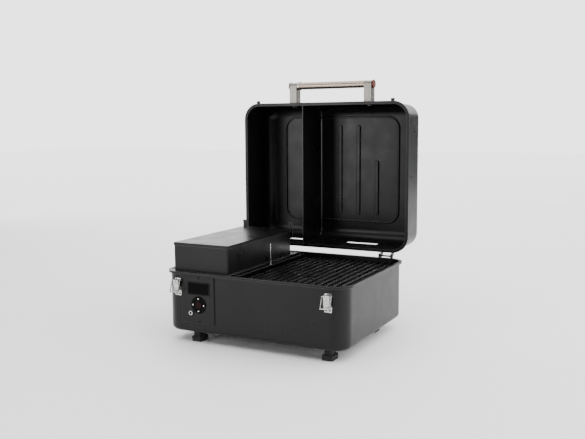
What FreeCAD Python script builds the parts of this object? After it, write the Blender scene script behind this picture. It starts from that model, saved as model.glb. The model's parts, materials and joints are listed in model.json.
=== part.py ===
import FreeCAD, Part
import math
import os

# Portable pellet grill: a stamped tub on four feet, a deep hinged lid, a pellet hopper on the left,
# and the auger, fire pot and fan below it.  Millimetres.  X to the right, Y to the back, Z up.
# Everything is laid out about the middle of the tub with the ground at Z 0; the export moves it
# along Y so that the origin lies under the middle of the whole open grill.

V = FreeCAD.Vector

# ---- overall ------------------------------------------------------------------------------------
RIM_W = 533.0            # tub and lid rim, side to side
RIM_D = 433.0            # tub and lid rim, front to back
RIM_TOP = 190.0          # rim above the ground
RIM_OVER = 7.0           # the rim's reach beyond the wall
RIM_ROLL = 6.0           # height of the turned lip
SHEET = 1.5              # steel sheet of the tub and lid
CORNER_R = 42.0          # upright corners of the tub and lid
BASE_Z = 29.0            # underside of the tub
BASE_R = 12.0            # bend at the tub's base
LID_H = 136.0            # lid height above the rim
LID_R = 36.0             # bend round the lid's top
LID_GAP = 0.5            # closed lid above the tub rim
COMPARTMENT_W = 190.0    # hopper compartment, from the tub's left wall to the partition

# ---- fits ---------------------------------------------------------------------------------------
RUN_FIT = 0.05           # radial clearance of a pin or shaft
PLAY = 0.5               # clearance between sheet parts
FREE = 3.0               # clear room round hidden parts
BREAK = 1.5              # small rounding of an outer edge
PAST = 1.0               # how far a cutting tool runs past the face it opens

# ---- feet ---------------------------------------------------------------------------------------
FOOT_W, FOOT_D, FOOT_PAD_H = 29.0, 38.0, 13.0
FOOT_R = 4.0
FOOT_NECK_IN, FOOT_NECK_R = 4.0, 3.0
FOOT_IN_X = (82.5, 54.5)             # left and right feet in from the side walls
FOOT_IN_Y = (36.5, 95.0)             # front and rear feet in from the walls

# ---- main hinge ---------------------------------------------------------------------------------
HINGE_BACK = 10.2        # axis behind the rim's rear edge
HINGE_UP = 3.0           # axis above the rim
HINGE_IN = 60.0          # middle of each hinge in from the side wall
HINGE_W = 40.0           # over the outer ears
HINGE_CLEAR = 2.0        # room between the hinge parts and the rim
EAR_T = 2.0
EAR_WALL = 3.5           # metal round the pin
PIN_R = 2.5
PIN_HEAD_OVER, PIN_HEAD_T = 1.5, 1.5
BRACKET_LOW = 40.0       # foot of the tub bracket below the rim
LEAF_HIGH = 40.0         # top of the lid leaf above the rim

# ---- lid ----------------------------------------------------------------------------------------
PANEL_SIDE = 30.2        # stamped border of the top panel, in from the side bends
PANEL_FRONT, PANEL_REAR = 33.5, 58.8 # border in from the front and rear walls
PANEL_R = 38.0
BEAD_W = 6.0             # width of the border bead
BEAD_IN = 5.0            # how far the beads are pressed in
BEAD_R = 2.2             # rounding along the beads
RIB_W, RIB_PITCH = 12.0, 60.5
RIB_ENDS = (26.0, 24.0)  # rib ends inside the border
RIB_SHORT = 134.4        # start of the short ribs behind the border's front
SLOT_H, SLOT_L, SLOT_R = 24.0, 99.9, 4.0 # exhaust slots in the lid's rear wall
SLOT_UP = 89.0           # slot middle above the rim
SLOT_IN = (79.5, 117.2)  # outer ends of the left and right slots, in from the side walls
WALL_T, WALL_SET = 2.0, 1.2          # lid partition, set to the right of the tub's
WALL_TUCK = 2.0          # its corners inside the lid's bend
RIVET_R, RIVET_T = 4.0, 2.0
RIVET_IN, RIVET_OFF = 25.0, -1.0     # outer rivets in from the walls, and the row's shift
RIVET_DOWN = 14.0        # rivets below the lid's top

# ---- handle -------------------------------------------------------------------------------------
POST_X, POST_W = 122.0, 23.0
POST_LOW, POST_HIGH = 48.0, 76.0     # above the rim
POST_OUT = 69.0          # reach from the lid wall
POST_ROUND = 9.0
BAR_R, BAR_WALL = 10.75, 1.5
BAR_IN = 10.0            # bar axis back from the posts' outer ends
CAP_OVER, CAP_T = 1.25, 5.0
COLLAR_OVER, COLLAR_L = 1.75, 9.0

# ---- draw latches: heights are below the rim, depths are out from the tub's front ----------------
LATCH_W, LATCH_T = 20.0, 1.5
LATCH_IN = 0.5           # middle of each latch in from the corner bend
LATCH_DOWN = (64.0, 18.0)
LATCH_R = 2.5
CHEEK_DOWN = 40.0        # lower end of the cheeks
CHEEK_R = 2.7            # round end of each cheek about the lever's pin
LEVER_PIVOT = (6.5, 26.0)
BAIL_PIVOT = (11.5, 24.0)
LEVER_DOWN = 53.0
LEVER_T, LEVER_ARM_T = 1.5, 3.5
LATCH_PIN_R, EYE_WALL = 1.5, 1.5
BAIL_R, BAIL_BOSS = 1.5, 1.6         # bail wire, and the lever's wall round it
BAIL_END = (21.5, 52.0)  # cross bar
KEEPER_W, KEEPER_OUT, KEEPER_T, KEEPER_H = 11.0, 7.5, 1.5, 5.5
SCREW_R, SCREW_T, SCREW_SIDE = 2.2, 1.0, 5.0

# ---- partition, deck and hopper -----------------------------------------------------------------
BULKHEAD_DOWN = 6.0      # partition's top below the rim
FLANGE_W = 14.0
DECK_DOWN = 1.5          # deck below the rim
DECK_SKIRT = 10.0
HOPPER_LEFT, HOPPER_RIGHT = 19.0, 3.0    # housing in from the left wall and the partition
HOPPER_FRONT, HOPPER_REAR = 12.0, 56.0   # housing in from the front and rear walls
HOPPER_H = 72.5          # housing above the deck
HOPPER_T = 1.2
HOPPER_R = 4.0
COVER_OVER = 3.0         # hopper lid's top above the housing
COVER_T = 1.2
COVER_SKIRT, COVER_ROUND = 8.0, 2.5
FUNNEL_IN = 4.0          # funnel mouth inside the hopper walls
OUTLET_W, OUTLET_D = 74.0, 44.0
OUTLET_UP = 5.0          # funnel outlet above the auger tube
GUARD_T, GUARD_BAR, GUARD_PITCH = 2.0, 3.0, 17.0
KNUCKLE_R, KNUCKLE_L = 3.5, 8.0
KNUCKLE_BACK = 8.0       # hopper hinge axis behind the housing
KNUCKLE_IN = 24.0        # middle of each knuckle in from the housing's sides
LEAF_H, LEAF_ARM_T = 17.0, 3.5
COVER_PIN_R, COVER_PIN_HEAD = 1.5, 1.0
TAB_W, TAB_PAST = 14.0, (4.0, 1.0)   # T-topped tabs, and their reach past the housing's sides
TAB_UP, TAB_DOWN = 22.0, 24.0        # top and foot of the tabs from the housing's top
TAB_STEM, TAB_CAP = 10.0, 4.0
TAB_T, TAB_GAP = 2.0, 1.0

# ---- control panel ------------------------------------------------------------------------------
PANEL_T, PANEL_EDGE = 2.5, 0.8
CTRL_GAP = 2.0           # panel right of the left latch
CTRL_W, CTRL_H = 99.0, 125.5
CTRL_DOWN = 8.5          # panel's top below the rim
CTRL_R = 3.0
CTRL_LAP = 5.0           # panel's lap over the hole in the tub
DISPLAY_W, DISPLAY_H = 61.5, 28.0
DISPLAY_OFF, DISPLAY_DOWN = 3.25, 18.5   # right of the panel's middle, below its top
BEZEL, BEZEL_T = 3.0, 1.2
DIAL_OFF, DIAL_DOWN, DIAL_R = 3.5, 75.5, 23.0
DIAL_T, DIAL_EDGE = 1.0, 0.6
CENTRE_R, KEY_R, KEY_AT = 10.0, 4.5, 16.5
KEY_PROUD = 2.0          # button tops in front of the dial ring
KEY_FIT = 0.4
KEY_LIP, KEY_LIP_T = 0.7, 1.0
KEY_TRAVEL = 1.0
JACK_OFF, JACK_DOWN, JACK_R, JACK_BORE = -20.7, 98.6, 6.0, 3.3
JACK_OUT, JACK_DEEP, JACK_WALL, JACK_END = 4.0, 14.0, 1.2, 2.0
PANEL_SCREW_OFF, PANEL_SCREW_IN = (3.2, 4.8), (4.8, 4.5)
PANEL_SCREW_R, PANEL_SCREW_T = 3.0, 1.6
BOARD_T, BOARD_IN = 1.6, 6.0
BOSS_R, BOSS_IN, BOSS_UP = 2.5, 8.0, 36.0
CHIP_HALF, CHIP_T = 9.0, 4.0

# ---- fire, air and feed -------------------------------------------------------------------------
AUGER_Z = 80.0
TUBE_R, TUBE_T = 25.0, 1.5
TUBE_IN, TUBE_LAP = 46.0, 2.0        # outer end in from the left wall, inner end past the pot's wall
FLIGHT_CLEAR, FLIGHT_T, FLIGHT_PITCH = 1.5, 2.0, 38.0
FLIGHT_IN = (6.0, 3.0)   # ends of the flight inside the tube
SHAFT_R, SHAFT_IN = 5.0, 9.0
GEAR_L, GEAR_SIDE, GEAR_OVER, GEAR_ROUND = 32.0, 3.0, 7.0, 5.0  # beside and above the tube
MOTOR_R, MOTOR_L, MOTOR_OFF = 21.0, 48.0, 6.0
POT_IN, POT_R, POT_T = 128.0, 45.0, 2.0  # pot axis right of the partition
POT_H, POT_FOOT_R = 78.0, 32.0
POT_HOLE_R, POT_HOLES, POT_HOLE_DOWN = 3.0, 10, 20.0
POT_CUT = 12.0           # depth of the tube's and igniter's openings into the pot
IGNITER_R, IGNITER_GAP = 3.5, 3.0    # rod, and its room below the auger tube
IGNITER_PAST = (8.0, 9.0)            # ends past the partition and the pot's wall
IGNITER_FLANGE, IGNITER_FLANGE_T = 2.5, 3.0
IGNITER_SEAT = 1.0       # rod above the pot's underside
BAFFLE_L, BAFFLE_D, BAFFLE_UP, BAFFLE_T = 140.0, 184.0, 14.0, 1.5
TRAY_LEFT, TRAY_RIGHT, TRAY_SIDE = 22.0, 8.0, 24.0   # in from partition, right wall, front and rear
TRAY_UP, TRAY_H, TRAY_T, TRAY_R = 1.0, 12.0, 1.2, 20.0
GRATE_DOWN = 12.0        # grate's top below the rim
GRATE_IN, GRATE_PITCH = 32.5, 19.7   # first bar right of the partition
GRATE_BAR_W, GRATE_BAR_H, GRATE_ROUND = 8.0, 10.0, 2.5
GRATE_CLEAR = 4.0        # grate's bar ends to the tub wall
GRATE_RAIL_PAST = 13.0   # rails' reach past the outer bars
GRATE_RAIL_IN, GRATE_RAIL_W = 48.0, 8.0
GRATE_RAIL_Z = (4.0, 2.0)            # rails below and into the bars
LEDGE_LEFT, LEDGE_RIGHT = 23.0, 58.0 # in from the partition and the right wall
LEDGE_W, LEDGE_H, LEDGE_GAP = 18.0, 16.0, 0.3
PROBE_IN, PROBE_Y, PROBE_R, PROBE_H = 8.0, 8.0, 2.0, 58.0
PROBE_FOOT, PROBE_FOOT_T = 10.0, 1.5
FAN_SIDE, FAN_Z, FAN_SIZE, FAN_DEEP = 4.0, 86.0, 80.0, 25.0   # side: in from the corner bend
FAN_WALL, FAN_TIP_GAP, FAN_HUB_R, FAN_BLADES = 3.0, 1.5, 15.0, 7
FAN_ROUND, FAN_BOSS_R, FAN_SPOKE, FAN_SPOKE_T = 4.0, 12.0, 6.0, 3.0
FAN_AXLE_R, FAN_AXLE_END = 1.5, 6.0
HUB_GAP = (4.0, 3.0)     # impeller inside the housing's two faces
BLADE_W, BLADE_T, BLADE_PITCH = 14.0, 2.0, 32.0
VENT_R, VENT_SLOTS, VENT_H = 30.0, 6, 5.0
INLET_IN, INLET_Z, INLET_W, INLET_H = 32.0, 80.0, 28.0, 24.0
INLET_RIM, INLET_RIM_T = (10.0, 4.0), 3.0
INLET_DEEP, INLET_WALL = 22.0, 3.0
INLET_PINS = ((-7.0, -2.0), (0.0, 2.5), (7.0, -2.0))
INLET_PIN_W, INLET_PIN_H, INLET_PIN_IN = 2.0, 4.0, 2.0
SWITCH_Z, SWITCH_W, SWITCH_H = 126.0, 14.0, 22.0
SWITCH_RIM, SWITCH_RIM_T, SWITCH_DEEP = 3.0, 2.0, 12.0
SWITCH_WALL, SWITCH_BACK, SWITCH_PIN_R = 1.5, 2.0, 1.0
ROCKER_TILT, ROCKER_PEAK, ROCKER_TAPER = 8.0, 0.5, 1.0

# ---- worked out ---------------------------------------------------------------------------------
BODY_X = RIM_W / 2 - RIM_OVER            # outer face of the side walls
BODY_Y = RIM_D / 2 - RIM_OVER            # outer face of the front and rear walls
IN_X, IN_Y = BODY_X - SHEET, BODY_Y - SHEET
FLOOR_Z = BASE_Z + SHEET
LID_TOP = RIM_TOP + LID_H
LID_LOW = RIM_TOP + LID_GAP
FOOT_X = (-BODY_X + FOOT_IN_X[0], BODY_X - FOOT_IN_X[1])
FOOT_Y = (-BODY_Y + FOOT_IN_Y[0], BODY_Y - FOOT_IN_Y[1])

HINGE_X = BODY_X - HINGE_IN
HINGE_Y = RIM_D / 2 + HINGE_BACK
HINGE_Z = RIM_TOP + HINGE_UP
EAR_R = PIN_R + EAR_WALL

BULKHEAD_X = -IN_X + COMPARTMENT_W       # left face of the tub's inner partition
BULKHEAD_TOP = RIM_TOP - BULKHEAD_DOWN
WALL_X = BULKHEAD_X + WALL_SET           # left face of the lid partition
RIVET_Y = [RIVET_OFF + side * (IN_Y - RIVET_IN) for side in (-1, 0, 1)]
PANEL_X = BODY_X - LID_R - PANEL_SIDE
PANEL_Y = (-BODY_Y + PANEL_FRONT, BODY_Y - PANEL_REAR)
RIB_START, RIB_STOP = PANEL_Y[0] + RIB_ENDS[0], PANEL_Y[1] - RIB_ENDS[1]
RIBS = [(0.0, RIB_START), (RIB_PITCH, RIB_START),
        (2 * RIB_PITCH, PANEL_Y[0] + RIB_SHORT), (-2 * RIB_PITCH, PANEL_Y[0] + RIB_SHORT)]
SLOTS = ((-BODY_X + SLOT_IN[0], -BODY_X + SLOT_IN[0] + SLOT_L),
         (BODY_X - SLOT_IN[1] - SLOT_L, BODY_X - SLOT_IN[1]))
BAR_Y = -(BODY_Y + POST_OUT - BAR_IN)
BAR_Z = RIM_TOP + (POST_LOW + POST_HIGH) / 2
LATCH_X = BODY_X - CORNER_R - LATCH_IN
LATCH_Z = (RIM_TOP - LATCH_DOWN[0], RIM_TOP - LATCH_DOWN[1])

DECK_TOP = RIM_TOP - DECK_DOWN
HOPPER_X = (-IN_X + HOPPER_LEFT, BULKHEAD_X - HOPPER_RIGHT)
HOPPER_Y = (-IN_Y + HOPPER_FRONT, IN_Y - HOPPER_REAR)
HOPPER_TOP = DECK_TOP + HOPPER_H
COVER_TOP = HOPPER_TOP + COVER_OVER
COVER_AXIS = (HOPPER_Y[1] + KNUCKLE_BACK, COVER_TOP - KNUCKLE_R)
KNUCKLE_X = (HOPPER_X[0] + KNUCKLE_IN, HOPPER_X[1] - KNUCKLE_IN)
TAB_X = (HOPPER_X[0] - TAB_PAST[0], HOPPER_X[1] + TAB_PAST[1] - TAB_W)
HOPPER_MID = (HOPPER_X[0] + HOPPER_X[1]) / 2
OUTLET_X = (HOPPER_MID - OUTLET_W / 2, HOPPER_MID + OUTLET_W / 2)
OUTLET_Y = (-OUTLET_D / 2, OUTLET_D / 2)
OUTLET_Z = AUGER_Z + TUBE_R + OUTLET_UP

CTRL_LEFT = -LATCH_X + LATCH_W / 2 + CTRL_GAP
CTRL_X = (CTRL_LEFT, CTRL_LEFT + CTRL_W)
CTRL_Z = (RIM_TOP - CTRL_DOWN - CTRL_H, RIM_TOP - CTRL_DOWN)
CTRL_MID = (CTRL_X[0] + CTRL_X[1]) / 2
DISPLAY_MID = CTRL_MID + DISPLAY_OFF
DISPLAY_X = (DISPLAY_MID - DISPLAY_W / 2, DISPLAY_MID + DISPLAY_W / 2)
DISPLAY_Z = (CTRL_Z[1] - DISPLAY_DOWN - DISPLAY_H, CTRL_Z[1] - DISPLAY_DOWN)
DIAL_X, DIAL_Z = CTRL_MID + DIAL_OFF, CTRL_Z[1] - DIAL_DOWN
JACK_X, JACK_Z = CTRL_MID + JACK_OFF, CTRL_Z[1] - JACK_DOWN
PANEL_SCREWS = ((CTRL_MID + PANEL_SCREW_OFF[0], CTRL_Z[1] - PANEL_SCREW_IN[0]),
                (CTRL_MID + PANEL_SCREW_OFF[1], CTRL_Z[0] + PANEL_SCREW_IN[1]))
PANEL_BACK = -BODY_Y
PANEL_FACE = PANEL_BACK - PANEL_T
DIAL_FACE = PANEL_FACE - DIAL_T
LIP_Y = (PANEL_BACK + KEY_FIT, PANEL_BACK + KEY_FIT + KEY_LIP_T)
BOARD_FRONT = LIP_Y[1] + KEY_TRAVEL + PLAY

POT_X = BULKHEAD_X + POT_IN
IGNITER_Z = AUGER_Z - TUBE_R - IGNITER_GAP - IGNITER_R
POT_LOW = IGNITER_Z - IGNITER_R - IGNITER_SEAT
POT_Z = (POT_LOW, POT_LOW + POT_H)
TUBE_X = (-IN_X + TUBE_IN, POT_X - POT_R + TUBE_LAP)
FLIGHT_X = (TUBE_X[0] + FLIGHT_IN[0], TUBE_X[1] - FLIGHT_IN[1])
FLIGHT_R = TUBE_R - TUBE_T - FLIGHT_CLEAR
IGNITER_X = (BULKHEAD_X - IGNITER_PAST[0], POT_X - POT_R + IGNITER_PAST[1])
BAFFLE_X = (POT_X - BAFFLE_L / 2, POT_X + BAFFLE_L / 2)
BAFFLE_TOP = POT_Z[1] + BAFFLE_UP
TRAY_X = (BULKHEAD_X + TRAY_LEFT, IN_X - TRAY_RIGHT)
TRAY_Y = IN_Y - TRAY_SIDE
TRAY_Z = BAFFLE_TOP + TRAY_UP
GRATE_TOP = RIM_TOP - GRATE_DOWN
GRATE_X0 = BULKHEAD_X + GRATE_IN
GRATE_BARS = 1 + int((IN_X - GRATE_RAIL_PAST - GRATE_X0) / GRATE_PITCH)
GRATE_RAIL_Y = (-IN_Y + GRATE_RAIL_IN, 0.0, IN_Y - GRATE_RAIL_IN)
LEDGE_X = (BULKHEAD_X + LEDGE_LEFT, IN_X - LEDGE_RIGHT)
PROBE_X = BULKHEAD_X + PROBE_IN
PROBE_TOP = BULKHEAD_TOP + PROBE_H
FAN_X = -IN_X + CORNER_R + FAN_SIDE + FAN_SIZE / 2
FAN_BORE_R = FAN_SIZE / 2 - FAN_WALL
FAN_TIP_R = FAN_BORE_R - FAN_TIP_GAP
INLET_X = BULKHEAD_X - INLET_IN

REACH_FRONT = -(BODY_Y + BAIL_END[0] + BAIL_R)
REACH_BACK = HINGE_Y + LID_TOP - HINGE_Z
SHIFT_Y = -(REACH_FRONT + REACH_BACK) / 2


# ---- tools --------------------------------------------------------------------------------------
def box(x, y, z):
    """A block given by its low and high values along each axis."""
    return Part.makeBox(x[1] - x[0], y[1] - y[0], z[1] - z[0], V(x[0], y[0], z[0]))


def along(axis, centre, radius, start, end):
    """A cylinder along X, Y or Z; centre gives its other two coordinates in order."""
    low = {"x": V(start, *centre), "y": V(centre[0], start, centre[1]), "z": V(*centre, start)}[axis]
    way = {"x": V(1, 0, 0), "y": V(0, 1, 0), "z": V(0, 0, 1)}[axis]
    return Part.makeCylinder(radius, end - start, low, way)


def upright(edge):
    b = edge.BoundBox
    return b.ZLength > 1e-3 and b.XLength < 1e-6 and b.YLength < 1e-6


def rounded(x, y, z, radius):
    """A block with rounded upright corners."""
    block = box(x, y, z)
    return block.makeFillet(radius, [e for e in block.Edges if upright(e)])


def bend(shape, height, radius):
    """Rounds every edge that lies flat at one height."""
    flat = [e for e in shape.Edges
            if abs(e.BoundBox.ZMin - height) < 1e-4 and abs(e.BoundBox.ZMax - height) < 1e-4]
    return shape.makeFillet(radius, flat)


def mirror_x(shape):
    return shape.mirror(V(0, 0, 0), V(1, 0, 0))


def pair(shape):
    """The shape and its mirror image across the middle plane."""
    return group([shape, mirror_x(shape)])


def group(shapes):
    return Part.makeCompound(shapes)


def profile_x(points, x):
    """A plate in the YZ plane, from x[0] to x[1]."""
    wire = Part.makePolygon([V(x[0], *p) for p in points + points[:1]])
    return Part.Face(wire).extrude(V(x[1] - x[0], 0, 0))


def slot(x, y, z):
    """A flat slot along X with round ends, cut through in Y."""
    r = (z[1] - z[0]) / 2
    mid = (z[0] + z[1]) / 2
    ends = [along("y", (c, mid), r, y[0], y[1]) for c in (x[0] + r, x[1] - r)]
    return box((x[0] + r, x[1] - r), y, z).fuse(ends).removeSplitter()


def dome(axis_centre, radius, height, base, outward):
    """A low pan head standing on a plane of constant Y, its crown towards outward (-1 or 1)."""
    x, z = axis_centre
    head = Part.makeCylinder(radius, height, V(x, base, z), V(0, outward, 0))
    crown = [e for e in head.Edges if abs(e.BoundBox.YMin - (base + outward * height)) < 1e-4
             and e.BoundBox.YLength < 1e-4]
    return head.makeFillet(height * 0.6, crown)


# ---- tub ----------------------------------------------------------------------------------------
def rim(low, high, lip):
    """The flat flange round the mouth and its turned lip, both one sheet thick."""
    half_x, half_y, r = RIM_W / 2, RIM_D / 2, CORNER_R + RIM_OVER
    plate = rounded((-half_x, half_x), (-half_y, half_y), (low, high), r)
    skirt = rounded((-half_x, half_x), (-half_y, half_y), lip, r)
    skirt = skirt.cut(rounded((-half_x + SHEET, half_x - SHEET), (-half_y + SHEET, half_y - SHEET),
                              (lip[0] - PAST, lip[1] + PAST), r - SHEET))
    return plate.fuse(skirt)


def tub_inside(top):
    cavity = rounded((-IN_X, IN_X), (-IN_Y, IN_Y), (FLOOR_Z, top), CORNER_R - SHEET)
    return bend(cavity, FLOOR_Z, BASE_R - SHEET)


def body_tub():
    shell = rounded((-BODY_X, BODY_X), (-BODY_Y, BODY_Y), (BASE_Z, RIM_TOP), CORNER_R)
    shell = bend(shell, BASE_Z, BASE_R)
    shell = shell.fuse(rim(RIM_TOP - SHEET, RIM_TOP, (RIM_TOP - RIM_ROLL, RIM_TOP)))
    shell = shell.cut(tub_inside(RIM_TOP + PAST))
    front = (-BODY_Y - PAST, -IN_Y + PAST)
    rear = (IN_Y - PAST, BODY_Y + PAST)
    holes = [box((CTRL_X[0] + CTRL_LAP, CTRL_X[1] - CTRL_LAP), front,
                 (CTRL_Z[0] + CTRL_LAP, CTRL_Z[1] - CTRL_LAP)),
             box((INLET_X - INLET_W / 2, INLET_X + INLET_W / 2), rear,
                 (INLET_Z - INLET_H / 2, INLET_Z + INLET_H / 2)),
             box((INLET_X - SWITCH_W / 2, INLET_X + SWITCH_W / 2), rear,
                 (SWITCH_Z - SWITCH_H / 2, SWITCH_Z + SWITCH_H / 2))]
    for i in range(VENT_SLOTS):
        up = (i - (VENT_SLOTS - 1) / 2) * 2 * VENT_H
        half = math.sqrt(VENT_R ** 2 - up ** 2)
        z = FAN_Z + up
        holes.append(slot((FAN_X - half, FAN_X + half), rear, (z - VENT_H / 2, z + VENT_H / 2)))
    return shell.cut(holes).removeSplitter()


def foot(x, y):
    w, d = FOOT_W / 2, FOOT_D / 2
    pad = rounded((x - w, x + w), (y - d, y + d), (0, FOOT_PAD_H), FOOT_R)
    n = FOOT_NECK_IN
    neck = rounded((x - w + n, x + w - n), (y - d + n, y + d - n), (FOOT_PAD_H, BASE_Z), FOOT_NECK_R)
    return pad.fuse(neck).removeSplitter()


# ---- main hinges --------------------------------------------------------------------------------
def ear(points, x):
    """A plate from the given outline to a round eye about the hinge axis."""
    plate = profile_x(points, x).fuse(along("x", (HINGE_Y, HINGE_Z), EAR_R, x[0], x[1]))
    return plate.cut(along("x", (HINGE_Y, HINGE_Z), PIN_R + RUN_FIT, x[0] - PAST, x[1] + PAST))


def hinge_bracket(centre):
    """Fixed half: a plate on the tub's rear wall and two ears that pass behind the rim."""
    low = RIM_TOP - BRACKET_LOW
    top = RIM_TOP - RIM_ROLL - HINGE_CLEAR
    outline = [(BODY_Y, low), (HINGE_Y + EAR_R, HINGE_Z - 3 * EAR_R), (HINGE_Y + EAR_R, HINGE_Z),
               (HINGE_Y - EAR_R, HINGE_Z), (RIM_D / 2 + HINGE_CLEAR, top), (BODY_Y, top)]
    half = HINGE_W / 2
    plate = box((centre - half, centre + half), (BODY_Y, BODY_Y + EAR_T), (low, top))
    ears = [ear(outline, (centre - half, centre - half + EAR_T)),
            ear(outline, (centre + half - EAR_T, centre + half))]
    return plate.fuse(ears).removeSplitter()


def hinge_leaf(centre):
    """Moving half on the lid's rear wall, between the bracket's ears."""
    low = LID_LOW + RIM_ROLL + HINGE_CLEAR
    top = RIM_TOP + LEAF_HIGH
    outline = [(BODY_Y, low), (RIM_D / 2 + HINGE_CLEAR, low), (HINGE_Y - EAR_R, HINGE_Z),
               (HINGE_Y + EAR_R, HINGE_Z), (HINGE_Y + EAR_R, HINGE_Z + 2 * EAR_R), (BODY_Y, top)]
    half = HINGE_W / 2 - EAR_T - PLAY
    plate = box((centre - half, centre + half), (BODY_Y, BODY_Y + EAR_T), (low, top))
    ears = [ear(outline, (centre - half, centre - half + EAR_T)),
            ear(outline, (centre + half - EAR_T, centre + half))]
    return plate.fuse(ears).removeSplitter()


def hinge_pin(centre):
    half = HINGE_W / 2
    axis = (HINGE_Y, HINGE_Z)
    shank = along("x", axis, PIN_R, centre - half - PIN_HEAD_T, centre + half + PIN_HEAD_T)
    head_r = PIN_R + PIN_HEAD_OVER
    heads = [along("x", axis, head_r, centre - half - PIN_HEAD_T, centre - half),
             along("x", axis, head_r, centre + half, centre + half + PIN_HEAD_T)]
    return shank.fuse(heads).removeSplitter()


# ---- lid ----------------------------------------------------------------------------------------
def rib(x, y0, y1, grow, z):
    """A straight bead along Y with round ends."""
    r = RIB_W / 2 + grow
    ends = [along("z", (x, y), r, z[0], z[1]) for y in (y0 + RIB_W / 2, y1 - RIB_W / 2)]
    return box((x - r, x + r), (y0 + RIB_W / 2, y1 - RIB_W / 2), z).fuse(ends).removeSplitter()


def lid_shell():
    shell = rounded((-BODY_X, BODY_X), (-BODY_Y, BODY_Y), (LID_LOW, LID_TOP), CORNER_R)
    shell = bend(shell, LID_TOP, LID_R)
    cavity = rounded((-IN_X, IN_X), (-IN_Y, IN_Y), (LID_LOW - PAST, LID_TOP - SHEET), CORNER_R - SHEET)
    cavity = bend(cavity, LID_TOP - SHEET, LID_R - SHEET)
    shell = shell.fuse(rim(LID_LOW, LID_LOW + SHEET, (LID_LOW, LID_LOW + RIM_ROLL)))
    shell = shell.cut(cavity)
    inner = (LID_TOP - SHEET - BEAD_IN, LID_TOP - SHEET)
    outer = (LID_TOP - BEAD_IN, LID_TOP + PAST)
    w = BEAD_W
    ring = rounded((-PANEL_X, PANEL_X), PANEL_Y, inner, PANEL_R)
    ring = ring.cut(rounded((-PANEL_X + w, PANEL_X - w), (PANEL_Y[0] + w, PANEL_Y[1] - w), inner,
                            PANEL_R - w))
    ring = bend(ring, inner[0], BEAD_R)
    t = SHEET
    groove = rounded((-PANEL_X + t, PANEL_X - t), (PANEL_Y[0] + t, PANEL_Y[1] - t), outer, PANEL_R - t)
    groove = groove.cut(rounded((-PANEL_X + w - t, PANEL_X - w + t),
                                (PANEL_Y[0] + w - t, PANEL_Y[1] - w + t), outer, PANEL_R - w + t))
    ribs = [bend(rib(x, start, RIB_STOP, 0.0, inner), inner[0], BEAD_R) for x, start in RIBS]
    shell = shell.fuse([ring] + ribs)
    shell = shell.cut([groove] + [rib(x, start, RIB_STOP, -t, outer) for x, start in RIBS])
    z = (RIM_TOP + SLOT_UP - SLOT_H / 2, RIM_TOP + SLOT_UP + SLOT_H / 2)
    slots = []
    for x in SLOTS:
        hole = box(x, (IN_Y - PAST, BODY_Y + PAST), z)
        slots.append(hole.makeFillet(SLOT_R, [e for e in hole.Edges if e.BoundBox.YLength > 1.0]))
    return shell.cut(slots).removeSplitter()


def lid_partition():
    """Divides the lid over the tub's inner partition; its upper corners clear the lid's bend."""
    plate = box((WALL_X, WALL_X + WALL_T), (-IN_Y, IN_Y), (LID_LOW, LID_TOP - SHEET - BEAD_IN - PLAY))
    top = plate.BoundBox.ZMax
    corners = [e for e in plate.Edges if abs(e.BoundBox.ZMin - top) < 1e-3 and e.BoundBox.XLength > 1.0
               and e.BoundBox.YLength < 1e-3]
    return plate.makeFillet(LID_R + WALL_TUCK, corners)


def lid_rivets():
    face = WALL_X + WALL_T
    z = LID_TOP - RIVET_DOWN
    return group([along("x", (y, z), RIVET_R, face, face + RIVET_T) for y in RIVET_Y])


# ---- handle -------------------------------------------------------------------------------------
def handle_post():
    low, high = RIM_TOP + POST_LOW, RIM_TOP + POST_HIGH
    post = box((POST_X - POST_W / 2, POST_X + POST_W / 2), (-BODY_Y - POST_OUT, -BODY_Y), (low, high))
    nose = [e for e in post.Edges if e.BoundBox.XLength > 1.0 and e.BoundBox.YMax < -BODY_Y - 1.0]
    return post.makeFillet(POST_ROUND, nose)


def handle_bar():
    half = POST_X - POST_W / 2
    axis = (BAR_Y, BAR_Z)
    return along("x", axis, BAR_R, -half, half).cut(along("x", axis, BAR_R - BAR_WALL, -half, half))


def handle_collar():
    end = -(POST_X - POST_W / 2)
    axis = (BAR_Y, BAR_Z)
    ring = along("x", axis, BAR_R + COLLAR_OVER, end, end + COLLAR_L)
    return ring.cut(along("x", axis, BAR_R, end, end + COLLAR_L))


def handle_caps():
    start = POST_X + POST_W / 2
    cap = along("x", (BAR_Y, BAR_Z), BAR_R + CAP_OVER, start, start + CAP_T)
    rim_edge = [e for e in cap.Edges if e.BoundBox.XMin > start + CAP_T - 1e-3]
    return pair(cap.makeFillet(BREAK, rim_edge))


# ---- draw latches -------------------------------------------------------------------------------
def latch_point(place):
    """Turns (out from the tub's front, below the rim) into Y and Z."""
    return (-BODY_Y - place[0], RIM_TOP - place[1])


def latch_base(x):
    half = LATCH_W / 2
    wall = -BODY_Y
    plate = box((x - half, x + half), (wall - LATCH_T, wall), LATCH_Z)
    plate = plate.makeFillet(LATCH_R, [e for e in plate.Edges if e.BoundBox.YLength > 1.0])
    pivot = latch_point(LEVER_PIVOT)
    cheeks = []
    for side in (x - half, x + half - LATCH_T):
        web = box((side, side + LATCH_T), (pivot[0], wall - LATCH_T),
                  (RIM_TOP - CHEEK_DOWN, pivot[1] + CHEEK_R))
        cheeks += [web, along("x", pivot, CHEEK_R, side, side + LATCH_T)]
    pin = along("x", pivot, LATCH_PIN_R, x - half + LATCH_T, x + half - LATCH_T)
    return plate.fuse(cheeks + [pin]).removeSplitter()


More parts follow.
